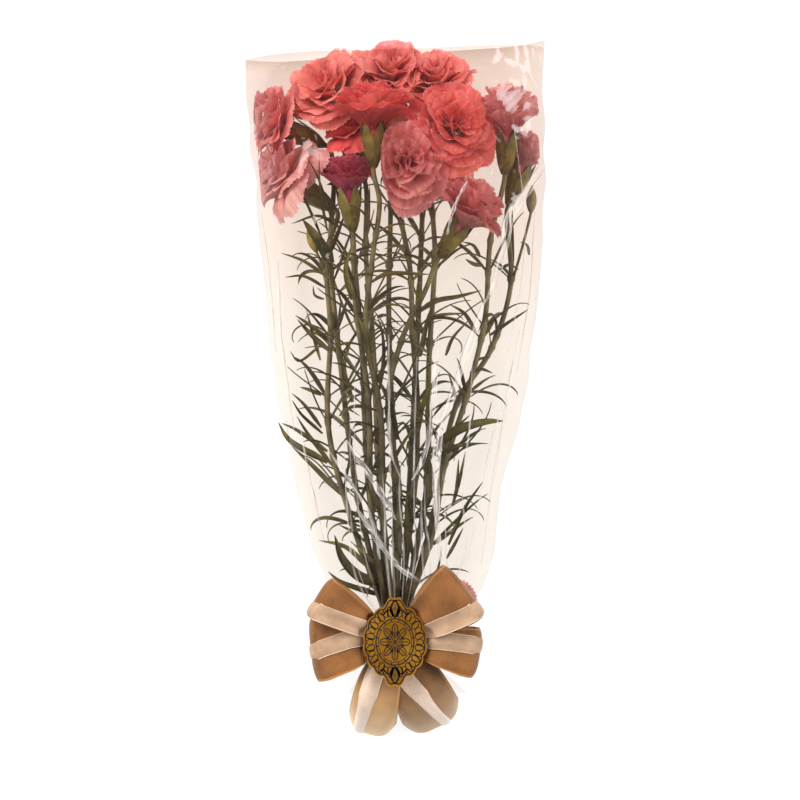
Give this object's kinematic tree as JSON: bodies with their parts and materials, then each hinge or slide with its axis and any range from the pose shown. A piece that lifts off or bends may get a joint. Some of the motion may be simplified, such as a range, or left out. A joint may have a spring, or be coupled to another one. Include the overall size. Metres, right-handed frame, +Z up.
{
  "type": "bunch of carnations",
  "caption": "Bunch of coral-pink carnations on long leafy stems in an open clear film sleeve, tied at the neck with a brown ribbon bow and a gilt badge, lying on its back.",
  "frame": {"origin": "on the underside of the sleeve, near the middle of its length, where the bunch rests", "axes": "+Y runs along the bunch from the tie to the blooms, +Z is up from the surface it lies on, +X is to the right seen from above with the blooms at the top"},
  "size_m": [0.2421, 0.567, 0.1078],
  "materials": {
    "petal_coral": "matt ruffled petals, coral pink",
    "petal_light": "matt ruffled petals, warm light coral",
    "petal_magenta": "matt ruffled petals, dark magenta",
    "foliage": "waxy grey-green stems, leaves and calyxes",
    "film": "clear glossy creased film",
    "ribbon": "brown ribbed satin ribbon",
    "woven_band": "beige woven band with paler edges",
    "badge_gold": "mirror gilt plate with black lines"
  },
  "bodies": {
    "root": {"bloom_far_left": "petal_coral", "stem_far_left": "foliage", "bloom_low_left": "petal_coral", "stem_low_left": "foliage", "bloom_top_left": "petal_light", "stem_top_left": "foliage", "bloom_shaded": "petal_coral", "stem_shaded": "foliage", "bloom_half_open": "petal_magenta", "stem_half_open": "foliage", "bloom_front": "petal_coral", "stem_front": "foliage", "bloom_top_middle": "petal_light", "stem_top_middle": "foliage", "bloom_facing": "petal_coral", "stem_facing": "foliage", "bloom_top_right": "petal_coral", "stem_top_right": "foliage", "bloom_right_middle": "petal_light", "stem_right_middle": "foliage", "bloom_low_right": "petal_coral", "stem_low_right": "foliage", "bloom_far_right": "petal_coral", "stem_far_right": "foliage", "bloom_side_right": "petal_coral", "stem_side_right": "foliage", "loose_petal": "petal_coral", "sleeve": "film", "tie_band": "ribbon", "bow_knot": "ribbon", "loop_left_upper": "ribbon", "loop_band_left_upper": "woven_band", "loop_left_lower": "ribbon", "loop_band_left_lower": "woven_band", "loop_right_upper": "ribbon", "loop_band_right_upper": "woven_band", "loop_right_lower": "ribbon", "loop_band_right_lower": "woven_band", "tail_left": "ribbon", "tail_band_left": "woven_band", "tail_right": "ribbon", "tail_band_right": "woven_band", "badge": "badge_gold"}
  },
  "joints": []
}
